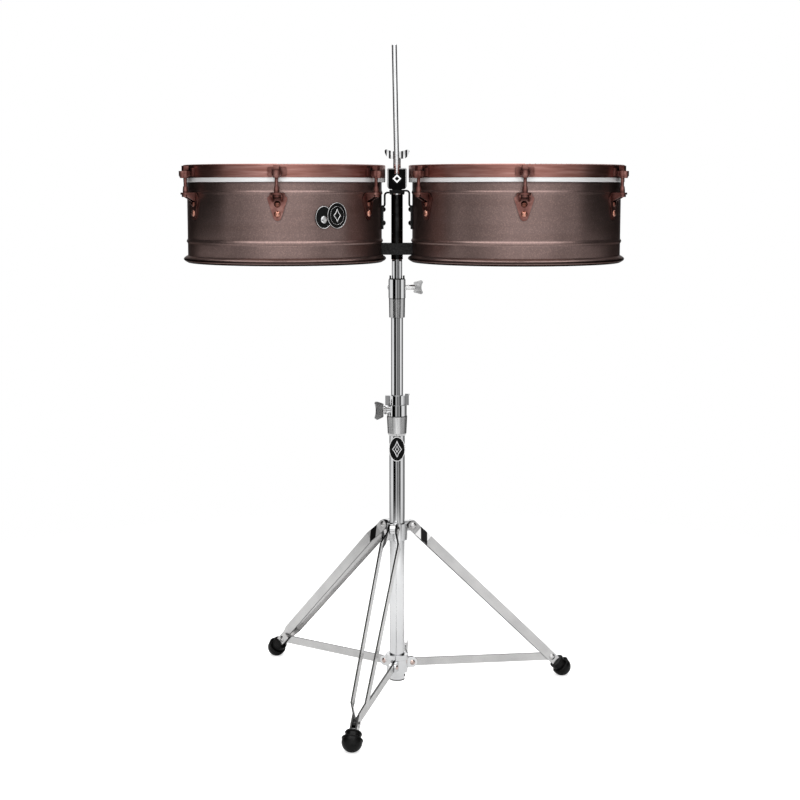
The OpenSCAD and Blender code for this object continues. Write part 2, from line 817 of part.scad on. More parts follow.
module brace(i) {
    boss = fork_gap - 0.3;
    color(satin) along_brace(i) difference() {
        union() {
            translate([0, -brace_t / 2, -brace_w / 2]) cube([brace_len, brace_t, brace_w]);
            cross_cylinder(brace_w / 2, brace_t);
            translate([brace_len, 0, 0]) cross_cylinder(brace_w / 2, brace_t);
            translate([brace_len, 0, 0]) cross_cylinder(6.5, 2 * boss);
        }
        cross_cylinder(rivet_r + run, 20);
        translate([brace_len, 0, 0]) cross_cylinder(rivet_r + run, 20);
    }
}

module brace_hub() {
    color(chrome) difference() {
        union() {
            ring(0, 20, brace_hub_z[0], brace_hub_z[1] - 9);
            ring(0, 21.5, brace_hub_z[1] - 9, brace_hub_z[1]);
            rotate([0, 0, brace_screw_az]) translate([12, 0, brace_screw_z]) rotate([0, 90, 0])
                cylinder(r = 6, h = 11.5);
            for (i = [0 : 2], s = [-1, 1]) in_leg_plane(i)
                translate([0, s * (brace_ear_in + brace_ear_t / 2), brace_pivot_z]) {
                    translate([pivot_r, 0, 0]) cross_cylinder(ear_r, brace_ear_t);
                    translate([10, -brace_ear_t / 2, -ear_r]) cube([pivot_r - 10, brace_ear_t, 2 * ear_r]);
                }
        }
        cylinder(r = base_d / 2 + run, h = 200);
        for (i = [0 : 2]) in_leg_plane(i) {
            translate([pivot_r, 0, brace_pivot_z]) cross_cylinder(rivet_r, 40);
            translate([18.4, -brace_ear_in, brace_pivot_z - 10]) cube([30, 2 * brace_ear_in, 9.8 * 2]);
        }
        rotate([0, 0, brace_screw_az]) translate([10, 0, brace_screw_z]) rotate([0, 90, 0])
            cylinder(r = 3 + run, h = 30);
    }
}

module brace_hub_pins() {
    half = brace_ear_in + brace_ear_t;
    color(satin) for (i = [0 : 2]) in_leg_plane(i) translate([pivot_r, 0, brace_pivot_z]) union() {
        cross_cylinder(rivet_r, 2 * half);
        for (s = [-1, 1]) translate([0, s * half, 0]) rotate([-90 * s, 0, 0]) dome(5, 2.4);
    }
}

module brace_hub_wing_screw() {
    color(satin) rotate([0, 0, brace_screw_az]) translate([0, 0, brace_screw_z]) rotate([0, 90, 0]) {
        translate([0, 0, base_d / 2 + 0.1]) cylinder(r = 3, h = 26);
        translate([0, 0, 30]) cylinder(r = 5.5, h = 8);
        translate([0, 0, 36]) wings(40, 0, 14, 5, 4, 10);
    }
}

// ---------------------------------------------------------------- nodes

base_tube();
base_tube_cap();
leg_hub();
leg_hub_pins();
lower_clamp();
lower_bushing();
stand_badge();
brace_hub();
brace_hub_pins();
brace_hub_wing_screw();
leg(0);  // leg_right
leg(1);  // leg_left
leg(2);  // leg_front
foot(0);  // foot_right
foot(1);  // foot_left
foot(2);  // foot_front
brace(0);  // brace_right
brace(1);  // brace_left
brace(2);  // brace_front
middle_tube();
memory_lock();
upper_clamp();
upper_bushing();
lower_wing_bolt();
upper_wing_bolt();
upper_tube();
receiver_tube();
head_block();
hangers();
hanger_bolts();
shell_spacer();
top_wing_bolt();
cowbell_post();
cowbell_post_bolt();
shell(0);  // shell_left
shell(1);  // shell_right
drumhead(0);  // drumhead_left
drumhead(1);  // drumhead_right
flesh_hoop(0);  // flesh_hoop_left
flesh_hoop(1);  // flesh_hoop_right
rim(0);  // rim_left
rim(1);  // rim_right
lugs();
lug_nuts();
lug_bolts();
claws();
shell_badge();
for (i = [1 : rods_per_drum]) {
    tension_rod(0, i - 1);
    tension_rod(1, i - 1);
}
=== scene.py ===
"""Timbales: looks, floor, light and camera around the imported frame."""
import math

import bmesh
import bpy
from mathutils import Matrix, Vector


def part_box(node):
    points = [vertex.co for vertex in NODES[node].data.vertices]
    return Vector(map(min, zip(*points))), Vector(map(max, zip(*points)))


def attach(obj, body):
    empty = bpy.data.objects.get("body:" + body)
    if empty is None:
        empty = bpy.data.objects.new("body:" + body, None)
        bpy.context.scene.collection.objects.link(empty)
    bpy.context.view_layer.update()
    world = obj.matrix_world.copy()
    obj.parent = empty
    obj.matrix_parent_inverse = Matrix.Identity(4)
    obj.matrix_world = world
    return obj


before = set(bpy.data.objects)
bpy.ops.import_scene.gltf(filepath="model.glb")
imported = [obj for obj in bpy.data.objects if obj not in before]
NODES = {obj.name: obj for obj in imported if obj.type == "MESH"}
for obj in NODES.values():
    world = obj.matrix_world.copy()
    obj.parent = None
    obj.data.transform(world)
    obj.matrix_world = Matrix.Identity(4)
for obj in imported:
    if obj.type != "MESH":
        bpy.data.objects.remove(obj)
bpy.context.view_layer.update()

# Camera: player's side, a little under the rims, tilted down
CAMERA_AT = (0.0055, -2.915, 0.951)
CAMERA_DOWN_DEG = 7.63
CAMERA_LENS_MM = 70.9
CAMERA_SENSOR_MM = 36
CAMERA_REACH = 50

SIDES = ("left", "right")
LEGS = ("right", "left", "front")


def azimuth_of(name):
    """Direction of a node's middle from the column, in degrees from +X towards +Y."""
    low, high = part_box(name)
    return math.degrees(math.atan2(low[1] + high[1], low[0] + high[0]))


LEG_AZIMUTHS = {leg: azimuth_of("foot_" + leg) for leg in LEGS}


# ------------------------------------------------------------------ camera

def add_camera():
    data = bpy.data.cameras.new("camera")
    data.lens = CAMERA_LENS_MM
    data.sensor_width = CAMERA_SENSOR_MM
    data.clip_end = CAMERA_REACH
    camera = bpy.data.objects.new("camera", data)
    camera.location = CAMERA_AT
    camera.rotation_euler = (math.radians(90 - CAMERA_DOWN_DEG), 0, 0)
    bpy.context.scene.collection.objects.link(camera)
    bpy.context.scene.camera = camera


# ------------------------------------------------------------------ shader helpers

def grey(level):
    return (level, level, level)


class Graph:
    """A node tree, with short calls for the nodes used here."""

    def __init__(self, tree):
        self.tree = tree

    def node(self, kind, **values):
        made = self.tree.nodes.new(kind)
        for key, value in values.items():
            if hasattr(made, key):
                setattr(made, key, value)
            else:
                made.inputs[key.replace("_", " ")].default_value = value
        return made

    def link(self, a, b):
        self.tree.links.new(a, b)

    def coords(self, scale=(1, 1, 1)):
        """Coordinates in metres in the object's frame, stretched by scale."""
        where = self.node("ShaderNodeTexCoord")
        mapping = self.node("ShaderNodeMapping")
        mapping.inputs["Scale"].default_value = scale
        self.link(where.outputs["Object"], mapping.inputs["Vector"])
        return mapping.outputs["Vector"]

    def noise(self, scale, detail, stretch=(1, 1, 1)):
        made = self.node("ShaderNodeTexNoise", Scale=scale, Detail=detail)
        self.link(self.coords(stretch), made.inputs["Vector"])
        return made.outputs["Fac"]

    def ramp(self, fac, stops):
        made = self.node("ShaderNodeValToRGB")
        elements = made.color_ramp.elements
        while len(elements) < len(stops):
            elements.new(0.5)
        for element, (place, colour) in zip(elements, stops):
            element.position = place
            element.color = (*colour, 1)
        self.link(fac, made.inputs["Fac"])
        return made.outputs["Color"]

    def value_range(self, fac, low, high):
        made = self.node("ShaderNodeMapRange")
        made.inputs["To Min"].default_value = low
        made.inputs["To Max"].default_value = high
        self.link(fac, made.inputs["Value"])
        return made.outputs["Result"]

    def mix(self, fac, a, b, blend="MIX"):
        made = self.node("ShaderNodeMix", data_type="RGBA", blend_type=blend)
        for name, value in (("Factor", fac), ("A", a), ("B", b)):
            socket = [s for s in made.inputs if s.name == name and s.enabled][0]
            if isinstance(value, bpy.types.NodeSocket):
                self.link(value, socket)
            elif name == "Factor":
                socket.default_value = value
            else:
                socket.default_value = (*value, 1)
        return [s for s in made.outputs if s.enabled][0]

    def math(self, operation, a, b=None):
        made = self.node("ShaderNodeMath", operation=operation)
        for i, value in enumerate((a, b)):
            if value is None:
                continue
            if isinstance(value, bpy.types.NodeSocket):
                self.link(value, made.inputs[i])
            else:
                made.inputs[i].default_value = value
        return made.outputs[0]

    def inverse(self, value):
        """1 minus a value."""
        return self.math("SUBTRACT", 1.0, value)

    def distance(self, a, b):
        """Distance of the point (a, b) from the middle of its plane."""
        return self.math("SQRT", self.math("ADD", self.math("MULTIPLY", a, a), self.math("MULTIPLY", b, b)))

    def tint(self, colour, by):
        """A colour multiplied by another."""
        return self.mix(1.0, colour, by, "MULTIPLY")

    def axes(self):
        """X, Y and Z of the object's frame, in metres."""
        parts = self.node("ShaderNodeSeparateXYZ")
        self.link(self.coords(), parts.inputs["Vector"])
        return [parts.outputs[name] for name in "XYZ"]

    def above(self, value, edge_mm, soft_mm=0.4):
        """1 where value (metres) is over edge_mm, 0 below it, with a soft step."""
        made = self.node("ShaderNodeMapRange", interpolation_type="SMOOTHSTEP")
        made.inputs["From Min"].default_value = (edge_mm - soft_mm) / 1000
        made.inputs["From Max"].default_value = (edge_mm + soft_mm) / 1000
        self.link(value, made.inputs["Value"])
        return made.outputs["Result"]

    def between(self, value, low_mm, high_mm, soft_mm=0.4):
        """1 where value (metres) is from low_mm to high_mm, 0 elsewhere, with soft steps."""
        return self.math("MULTIPLY", self.above(value, low_mm, soft_mm),
                         self.inverse(self.above(value, high_mm, soft_mm)))

    def painted_crease_shade(self, reach_mm, darkest):
        """Painted shade: white on open surfaces, down to the grey level darkest in creases narrower than
        reach_mm.
        """
        occlusion = self.node("ShaderNodeAmbientOcclusion", samples=8)
        occlusion.inputs["Distance"].default_value = reach_mm / 1000
        return self.ramp(occlusion.outputs["AO"], [(0.25, grey(darkest)), (0.85, grey(1.0))])

    def bump(self, height, strength, distance):
        made = self.node("ShaderNodeBump", Strength=strength, Distance=distance)
        self.link(height, made.inputs["Height"])
        return made.outputs["Normal"]


def new_material(name):
    """A material, its graph and its shader."""
    made = bpy.data.materials.new(name)
    made.use_nodes = True
    return made, Graph(made.node_tree), made.node_tree.nodes["Principled BSDF"]


def material(name, metallic, rough, colour_stops, colour_noise, rough_noise, bump,
             specular=0.5, painted_crease_shade=None, adjust=None):
    """A finish: colour and roughness vary by noise, with a fine bump.

    colour_noise and rough_noise are (scale, detail, stretch); rough is (low, high);
    bump is (scale, detail, stretch, strength, distance); the painted shade in creases is (reach_mm,
    darkest);
    adjust(graph, shader, colour, roughness) returns both, changed over parts of the surface.
    """
    made, g, shader = new_material(name)
    shader.inputs["Metallic"].default_value = metallic
    shader.inputs["Specular IOR Level"].default_value = specular
    colour = g.ramp(g.noise(*colour_noise), colour_stops)
    roughness = g.value_range(g.noise(*rough_noise), *rough)
    if adjust:
        colour, roughness = adjust(g, shader, colour, roughness)
    # Painted shade, darker in creases
    if painted_crease_shade:
        colour = g.tint(colour, g.painted_crease_shade(*painted_crease_shade))
    g.link(colour, shader.inputs["Base Color"])
    g.link(roughness, shader.inputs["Roughness"])
    scale, detail, stretch, strength, distance = bump
    g.link(g.bump(g.noise(scale, detail, stretch), strength, distance), shader.inputs["Normal"])
    return made


EVEN = (1, 1, 1)
AROUND = (1, 1, 12)      # streaks that run level round a drum
ALONG = (9, 9, 1)        # streaks that run up and down a tube

CHROME = [(0.35, (0.76, 0.765, 0.775)), (0.7, (0.86, 0.865, 0.87))]
SATIN = [(0.3, (0.50, 0.50, 0.505)), (0.7, (0.66, 0.66, 0.655))]
BLACK = [(0.3, grey(0.003)), (0.7, grey(0.009))]

# The clamps: how far below each one's top its polished collar ends, the dark gap there as heights from
# the collar's end, in mm, the collar's colour and its roughness as a share of the casting's
CLAMP_SPLITS = {"upper_clamp": 35, "lower_clamp": 20.6}
CLAMP_GAP_MM = (-0.9, 0.3)
COLLAR_COLOUR = (0.82, 0.825, 0.83)
COLLAR_ROUGHNESS = 0.25


def chrome_above(split_mm):
    """Polished chrome over a height and cast satin metal under it, with a dark gap between them."""
    def adjust(g, shader, colour, roughness):
        height = g.axes()[2]
        polished = g.above(height, split_mm)
        gap = g.between(height, split_mm + CLAMP_GAP_MM[0], split_mm + CLAMP_GAP_MM[1])
        colour = g.mix(gap, g.mix(polished, colour, COLLAR_COLOUR), grey(0.05))
        return colour, g.math("MULTIPLY", roughness, g.value_range(polished, 1.0, COLLAR_ROUGHNESS))
    return adjust


# Painted shade on a bar, from its narrow edges (0) to its broad faces (1)
PAINTED_BAR_SHADE = [(0.35, grey(0.05)), (0.93, grey(1.0))]
# The legs' top bends, where a dark reflection is painted, measured from the column's axis, and a height
# that is under all of them
BEND_FROM_MM, BEND_TO_MM, BEND_OVER_MM = 45, 57, 200


def painted_bar_shade(azimuth_deg):
    """Painted shade: the broad faces of a leg or brace stay bright, its narrow edges are painted darker,
    and its top bend carries a painted dark reflection.
    """
    def adjust(g, shader, colour, roughness):
        where = g.node("ShaderNodeTexCoord")
        facing = g.node("ShaderNodeVectorMath", operation="DOT_PRODUCT")
        turn = math.radians(azimuth_deg)
        facing.inputs[1].default_value = (-math.sin(turn), math.cos(turn), 0)
        g.link(where.outputs["Normal"], facing.inputs[0])
        broad = g.math("ABSOLUTE", facing.outputs["Value"])
        # Painted shade on the narrow edges
        colour = g.tint(colour, g.ramp(broad, PAINTED_BAR_SHADE))
        across, along, height = g.axes()
        # Painted dark reflection on the top bend
        bend = g.between(g.distance(across, along), BEND_FROM_MM, BEND_TO_MM)
        bend = g.math("MULTIPLY", bend, g.above(height, BEND_OVER_MM))
        return g.mix(bend, colour, grey(0.012)), roughness
    return adjust


# Painted highlights on the edges of the head block: their widths, how their strength varies along them, and
# how metallic they look
SIDE_HIGHLIGHT_MM = 2.4
TOP_HIGHLIGHT_MM = 1.8
HIGHLIGHT_RANGE = (0.35, 1.3)
HIGHLIGHT_METALLIC = 0.35


def painted_block_edge_highlights(g, shader, colour, roughness):
    """Black plating on the head block, with painted highlights along its upright and upper edges."""
    _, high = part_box("head_block")
    across, _, height = g.axes()
    # Painted highlight: a lighter, more metallic colour along the upright and upper edges
    side = g.above(g.math("ABSOLUTE", across), 1000 * high[0] - SIDE_HIGHLIGHT_MM)
    edge_highlight = g.math("MAXIMUM", side, g.above(height, 1000 * high[2] - TOP_HIGHLIGHT_MM))
    edge_highlight = g.math("MULTIPLY", edge_highlight, g.value_range(g.noise(260, 2), *HIGHLIGHT_RANGE))
    g.link(g.value_range(edge_highlight, 1.0, HIGHLIGHT_METALLIC), shader.inputs["Metallic"])
    return g.mix(edge_highlight, colour, grey(0.45)), roughness


SOCKET_SHARE = 0.55      # width of the socket over the width of the bolt's head


def painted_socket_shade(g, shader, colour, roughness):
    """Painted shade: the square socket in the head of the post's bolt is painted black inside."""
    low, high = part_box("cowbell_post_bolt")
    across, _, height = g.axes()
    z = g.math("ABSOLUTE", g.math("SUBTRACT", height, (low[2] + high[2]) / 2))
    from_middle = g.math("ADD", g.math("ABSOLUTE", across), z)
    socket_mm = 1000 * SOCKET_SHARE * (high[2] - low[2]) / 2
    return g.mix(g.above(from_middle, socket_mm, 0.15), grey(0.006), colour), roughness


# The eye at the post's foot, and how far the plating runs past it
POST_EYE_R = 0.009
EYE_MARGIN_MM = 0.3


def black_eye(g, shader, colour, roughness):
    """The post's eye is black plated round its bolt."""
    low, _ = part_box("cowbell_post")
    across, _, height = g.axes()
    reach = g.distance(across, g.math("SUBTRACT", height, low[2] + POST_EYE_R))
    plain = g.above(reach, 1000 * POST_EYE_R + EYE_MARGIN_MM, 0.2)
    return g.mix(plain, grey(0.01), colour), roughness


FLANGE_RING_MM = 2.1     # height of the plated ring on the receiver tube


def bright_flange(g, shader, colour, roughness):
    """The plated ring at the top of the black receiver tube."""
    _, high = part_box("receiver_tube")
    return g.mix(g.above(g.axes()[2], 1000 * high[2] - FLANGE_RING_MM), colour, grey(0.62)), roughness


# Painted shade of the grooves of the top wing bolt: their spacing, and the part of each wave that they take
# up
GROOVE_PITCH = 0.0075
GROOVE_STEP = [(0.45, grey(0)), (0.65, grey(1))]


def painted_groove_shade(g, shader, colour, roughness):
    """Painted shade of upright grooves across the top wing bolt, dark in their bottoms."""
    wave = g.math("SINE", g.math("MULTIPLY", g.axes()[0], 2 * math.pi / GROOVE_PITCH))
    groove = g.ramp(g.math("ADD", g.math("MULTIPLY", wave, 0.5), 0.5), GROOVE_STEP)
    return g.mix(groove, colour, grey(0.006)), roughness


SHADED_BOLT_TINT = (0.35, 0.30, 0.30)


def painted_upper_bolt_shade(g, shader, colour, roughness):
    """The upper bolt of each lug sits in the lug's shade: its colour is darkened with painted shade."""
    low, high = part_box("lug_bolts")
    upper = g.above(g.axes()[2], 1000 * (low[2] + high[2]) / 2)
    return g.mix(upper, colour, g.tint(colour, SHADED_BOLT_TINT)), roughness


BADGE_BORDER = 0.0013    # width of the oval badge's silver line


def silver_oval_border(g, shader, colour, roughness):
    """A silver line round the oval badge of the stand."""
    low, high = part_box("stand_badge")
    across, _, height = g.axes()
    middle = (low[2] + high[2]) / 2
    x = g.math("DIVIDE", across, high[0] - BADGE_BORDER)
    z = g.math("DIVIDE", g.math("SUBTRACT", height, middle), high[2] - middle - BADGE_BORDER)
    outside = g.math("GREATER_THAN", g.distance(x, z), 1.0)
    return g.mix(outside, colour, grey(0.80)), roughness


# The shells' finish: tint of surfaces seen edge on, and colours of the metal
SHELL_EDGE_TINT = (*grey(0.25), 1)
SHELL_COLOURS = [(0.3, (0.245, 0.168, 0.153)), (0.7, (0.278, 0.195, 0.180))]
# Its flakes: how many to a metre, a factor that evens out their random levels, and their brightness
FLAKES_PER_M = 620
FLAKE_SPREAD = 7.0
FLAKE_SHADES = [(0.0, grey(0.86)), (0.75, grey(1.0)), (1.0, (1.22, 1.20, 1.18))]
# Painted shade on the bottom lip: its height and a painted highlight line on it, in mm, the shade's tint
# and the highlight's strength
LIP_MM = 8
LIP_HIGHLIGHT_MM = (3.0, 4.6)
LIP_SHADE_TINT = (0.14, 0.12, 0.12)
LIP_HIGHLIGHT_STRENGTH = 0.8


def shell_material():
    """Satin gunmetal brown, with metal flake and faint level brush marks; painted shade on its bottom lip
    and in creases.
    """
    made, g, shader = new_material("shell_gunmetal")
    shader.inputs["Metallic"].default_value = 0.96
    shader.inputs["Specular Tint"].default_value = SHELL_EDGE_TINT
    flakes = g.node("ShaderNodeTexVoronoi", Scale=FLAKES_PER_M)
    g.link(g.coords(), flakes.inputs["Vector"])
    level = g.math("FRACT", g.math("MULTIPLY", flakes.outputs["Color"], FLAKE_SPREAD))
    colour = g.tint(g.ramp(g.noise(5, 3, AROUND), SHELL_COLOURS), g.ramp(level, FLAKE_SHADES))
    height = g.axes()[2]
    base_mm = 1000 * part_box("shell_left")[0][2]
    # Painted shade over the bottom lip, lightened along a painted highlight line
    lip = g.inverse(g.above(height, base_mm + LIP_MM, 1.2))
    line = g.between(height, base_mm + LIP_HIGHLIGHT_MM[0], base_mm + LIP_HIGHLIGHT_MM[1], 0.5)
    dark = g.math("SUBTRACT", lip, g.math("MULTIPLY", line, LIP_HIGHLIGHT_STRENGTH))
    colour = g.mix(dark, colour, g.tint(colour, LIP_SHADE_TINT))
    # Painted shade in creases, under the hoop and round the lugs
    g.link(g.tint(colour, g.painted_crease_shade(9, 0.12)), shader.inputs["Base Color"])
    g.link(g.value_range(g.noise(240, 4, EVEN), 0.28, 0.36), shader.inputs["Roughness"])
    g.link(g.bump(g.noise(900, 3, EVEN), 0.25, 0.0003), shader.inputs["Normal"])
    return made


def drum_finishes():
    return {
        "shell": shell_material(),
        "rim": material(
            "rim_copper", 1.0, (0.26, 0.42),
            [(0.30, (0.28, 0.120, 0.098)), (0.52, (0.37, 0.175, 0.148)), (0.75, (0.50, 0.27, 0.24))],
            (20, 3, AROUND), (90, 4, AROUND), (220, 3, AROUND, 0.12, 0.0002), painted_crease_shade=(5, 0.15)),
        "copper": material(
            "hardware_copper", 1.0, (0.34, 0.50),
            [(0.28, (0.13, 0.050, 0.042)), (0.52, (0.22, 0.098, 0.084)), (0.78, (0.40, 0.215, 0.185))],
            (70, 4, EVEN), (160, 4, EVEN), (420, 3, EVEN, 0.2, 0.0003), painted_crease_shade=(14, 0.02)),
        "bolt": material(
            "bolt_copper", 1.0, (0.2, 0.32),
            [(0.3, (0.42, 0.17, 0.12)), (0.7, (0.66, 0.34, 0.26))],
            (140, 3, EVEN), (220, 3, EVEN), (500, 2, EVEN, 0.12, 0.0002), painted_crease_shade=(7, 0.15),
            adjust=painted_upper_bolt_shade),
    }


def chrome_finishes():
    return {
        "chrome": material(
            "chrome", 1.0, (0.03, 0.07), CHROME,
            (14, 3, EVEN), (40, 4, ALONG), (180, 2, ALONG, 0.03, 0.0002), painted_crease_shade=(4, 0.05)),
        "wing": material(
            "wing_cast", 1.0, (0.14, 0.24), [(0.35, grey(0.50)), (0.65, grey(0.76))],
            (90, 2, EVEN), (120, 4, EVEN), (110, 2, EVEN, 0.15, 0.0015), painted_crease_shade=(8, 0.05)),
        "ribbed_wing": material(
            "ribbed_wing_cast", 1.0, (0.10, 0.18), [(0.35, grey(0.50)), (0.65, grey(0.74))],
            (90, 2, EVEN), (120, 4, EVEN), (300, 2, EVEN, 0.05, 0.0002), painted_crease_shade=(8, 0.05),
            adjust=painted_groove_shade),
        "post": material(
            "post_chrome", 1.0, (0.17, 0.25), CHROME,
            (14, 3, EVEN), (40, 4, ALONG), (180, 2, ALONG, 0.03, 0.0002), adjust=black_eye),
        "socket_bolt": material(
            "socket_bolt", 1.0, (0.05, 0.10), CHROME,
            (60, 3, EVEN), (90, 4, EVEN), (300, 2, EVEN, 0.03, 0.0002), adjust=painted_socket_shade),
        "pin": material(
            "rivet_metal", 1.0, (0.14, 0.26),
            [(0.3, (0.55, 0.42, 0.38)), (0.7, (0.70, 0.56, 0.51))],
            (120, 3, EVEN), (160, 3, EVEN), (500, 2, EVEN, 0.1, 0.0002), painted_crease_shade=(4, 0.05)),
    }


def black_finishes():
    return {
        "head_block": material(
            "block_black_plate", 1.0, (0.07, 0.14), [(0.3, grey(0.0015)), (0.7, grey(0.004))],
            (80, 3, EVEN), (120, 3, EVEN), (900, 2, EVEN, 0.05, 0.0002), adjust=painted_block_edge_highlights),
        "receiver": material(
            "receiver_black_plate", 1.0, (0.10, 0.18), [(0.3, grey(0.008)), (0.7, grey(0.030))],
            (80, 3, EVEN), (120, 3, ALONG), (900, 2, EVEN, 0.05, 0.0002), adjust=bright_flange),
        "oval_badge": material(
            "oval_badge_enamel", 0.0, (0.15, 0.25), BLACK,
            (120, 3, EVEN), (160, 3, EVEN), (600, 2, EVEN, 0.05, 0.0002), specular=0.06,
            adjust=silver_oval_border),
        "black_metal": material(
            "black_metal", 0.0, (0.25, 0.38), BLACK,
            (80, 3, EVEN), (120, 3, EVEN), (900, 2, EVEN, 0.15, 0.0002), specular=0.08),
        "black_plastic": material(
            "black_plastic", 0.0, (0.5, 0.66), [(0.42, grey(0.006)), (0.6, grey(0.026))],
            (420, 3, EVEN), (400, 3, EVEN), (900, 3, EVEN, 0.6, 0.0008), specular=0.15),
        "rubber": material(
            "rubber", 0.0, (0.22, 0.36), [(0.3, grey(0.002)), (0.7, grey(0.006))],
            (200, 3, EVEN), (260, 3, EVEN), (800, 3, EVEN, 0.15, 0.0004), specular=0.14),
    }


def pale_finishes():
    return {
        "drumhead": material(
            "coated_film", 0.0, (0.42, 0.6),
            [(0.3, (0.50, 0.49, 0.465)), (0.7, (0.58, 0.57, 0.545))],
            (9, 5, EVEN), (60, 4, EVEN), (700, 3, EVEN, 0.25, 0.0003)),
        "hoop": material(
            "hoop_aluminium", 0.35, (0.3, 0.45),
            [(0.3, grey(0.86)), (0.7, (0.93, 0.93, 0.925))],
            (60, 3, AROUND), (120, 3, AROUND), (400, 2, EVEN, 0.08, 0.0002)),
        "silver": material(
            "badge_silver", 1.0, (0.15, 0.28),
            [(0.3, (0.70, 0.70, 0.71)), (0.7, grey(0.82))],
            (90, 3, EVEN), (140, 3, EVEN), (500, 2, EVEN, 0.1, 0.0002)),
    }


def clamp_finish(node, drop_mm):
    return material(
        node + "_cast", 1.0, (0.12, 0.20), SATIN,
        (60, 4, ALONG), (120, 4, ALONG), (300, 2, EVEN, 0.03, 0.0002), painted_crease_shade=(4, 0.05),
        adjust=chrome_above(1000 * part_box(node)[1][2] - drop_mm))


def bar_finish(leg):
    return material(
        "leg_steel_" + leg, 1.0, (0.10, 0.20),
        [(0.3, (0.56, 0.555, 0.555)), (0.7, (0.67, 0.665, 0.66))],
        (22, 3, EVEN), (60, 4, EVEN), (260, 2, EVEN, 0.05, 0.0002), painted_crease_shade=(5, 0.05),
        adjust=painted_bar_shade(LEG_AZIMUTHS[leg]))


def make_materials():
    return {
        **drum_finishes(),
        **chrome_finishes(),
        **black_finishes(),
        **pale_finishes(),
        **{node: clamp_finish(node, drop_mm) for node, drop_mm in CLAMP_SPLITS.items()},
        **{"bars_" + leg: bar_finish(leg) for leg in LEGS},
    }


def paint(obj, made):
    obj.data.materials.clear()
    obj.data.materials.append(made)


MATERIAL_OF = {
    "shell": ["shell_left", "shell_right"],
    "rim": ["rim_left", "rim_right"],
    "copper": ["lugs", "lug_nuts", "claws"]
              + [f"tension_rod_{side}_{i}" for side in SIDES for i in range(1, 7)],
    "bolt": ["lug_bolts"],
    "drumhead": ["drumhead_left", "drumhead_right"],
    "hoop": ["flesh_hoop_left", "flesh_hoop_right"],
    "chrome": ["base_tube", "middle_tube", "upper_tube", "leg_hub", "brace_hub", "memory_lock",
               "leg_hub_pins"],
    "wing": ["upper_wing_bolt", "lower_wing_bolt", "brace_hub_wing_screw"],
    "ribbed_wing": ["top_wing_bolt"],
    "post": ["cowbell_post"],
    "socket_bolt": ["cowbell_post_bolt"],
    "pin": ["brace_hub_pins"],
    "head_block": ["head_block"],
    "receiver": ["receiver_tube"],
    "upper_clamp": ["upper_clamp"],
    "lower_clamp": ["lower_clamp"],
    "oval_badge": ["stand_badge"],
    "black_metal": ["hangers", "hanger_bolts", "shell_badge"],
    "black_plastic": ["upper_bushing", "lower_bushing", "shell_spacer", "base_tube_cap"],
    "rubber": ["foot_" + leg for leg in LEGS],
    **{"bars_" + leg: ["leg_" + leg, "brace_" + leg] for leg in LEGS},
}


def paint_frame(materials):
    for name, nodes in MATERIAL_OF.items():
        for node in nodes:
            paint(NODES[node], materials[name])


# ------------------------------------------------------------------ modelled details

def add_mesh(name, build, body, made):
    """A new piece: build(mesh) fills a bmesh; it rides on body."""
    mesh = bmesh.new()
    build(mesh)
    bmesh.ops.recalc_face_normals(mesh, faces=mesh.faces)
    data = bpy.data.meshes.new(name)
    mesh.to_mesh(data)
    mesh.free()
    data.shade_smooth()
    piece = bpy.data.objects.new(name, data)
    bpy.context.scene.collection.objects.link(piece)
    paint(piece, made)
    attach(piece, body)


def turns(count):
    """Angles that share out a full turn evenly."""
    return [2 * math.pi * k / count for k in range(count)]


WIRE_END = 0.3                            # radius of an open wire's ends over its own
OFF_AXIS = Vector((0.13, 0.97, 0.21))     # a direction that no wire here runs along


def add_tube(mesh, points, radius, closed, sides=8):
    """A round wire through points; an open one tapers to small capped ends."""
    count = len(points)
    rings = []
    for i, point in enumerate(points):
        before = points[i - 1] if closed or i else point
        after = points[(i + 1) % count] if closed or i < count - 1 else point
        along = (after - before).normalized()
        side = along.cross(OFF_AXIS).normalized()
        over = along.cross(side)
        ring_r = radius if closed or 0 < i < count - 1 else WIRE_END * radius
        rings.append([mesh.verts.new(point + ring_r * (math.cos(a) * side + math.sin(a) * over))
                      for a in turns(sides)])
    pairs = list(zip(rings, rings[1:])) + ([(rings[-1], rings[0])] if closed else [])
    for ring, following in pairs:
        shift = min(range(sides), key=lambda k: (following[k].co - ring[0].co).length)
        for k in range(sides):
            mesh.faces.new([ring[k], ring[(k + 1) % sides],
                            following[(k + 1 + shift) % sides], following[(k + shift) % sides]])
    if not closed:
        mesh.faces.new(rings[0])
        mesh.faces.new(rings[-1])


def add_dome(mesh, at, out, radius, height, sides=24, rows=4):
    """A shallow dome standing on the plane through at, facing out, closed underneath."""
    side = out.cross(Vector((0, 0, 1))).normalized()
    over = out.cross(side)
    rings = []
    for row in range(rows):
        tilt = math.pi / 2 * row / rows
        reach, rise = radius * math.cos(tilt), height * math.sin(tilt)
        rings.append([mesh.verts.new(at + reach * (math.cos(a) * side + math.sin(a) * over) + rise * out)
                      for a in turns(sides)])
    top = mesh.verts.new(at + height * out)
    for ring, following in zip(rings, rings[1:]):
        for k in range(sides):
            mesh.faces.new([ring[k], ring[(k + 1) % sides], following[(k + 1) % sides], following[k]])
    for k in range(sides):
        mesh.faces.new([rings[-1][k], rings[-1][(k + 1) % sides], top])
    mesh.faces.new(rings[0])


def ellipse(middle, half_w, half_h, steps=72):
    """Points evenly round an ellipse."""
    return [(middle[0] + half_w * math.cos(a), middle[1] + half_h * math.sin(a)) for a in turns(steps)]


LOZENGE_HOLLOW = 0.55     # how much the sides of a lozenge are drawn in towards its middle


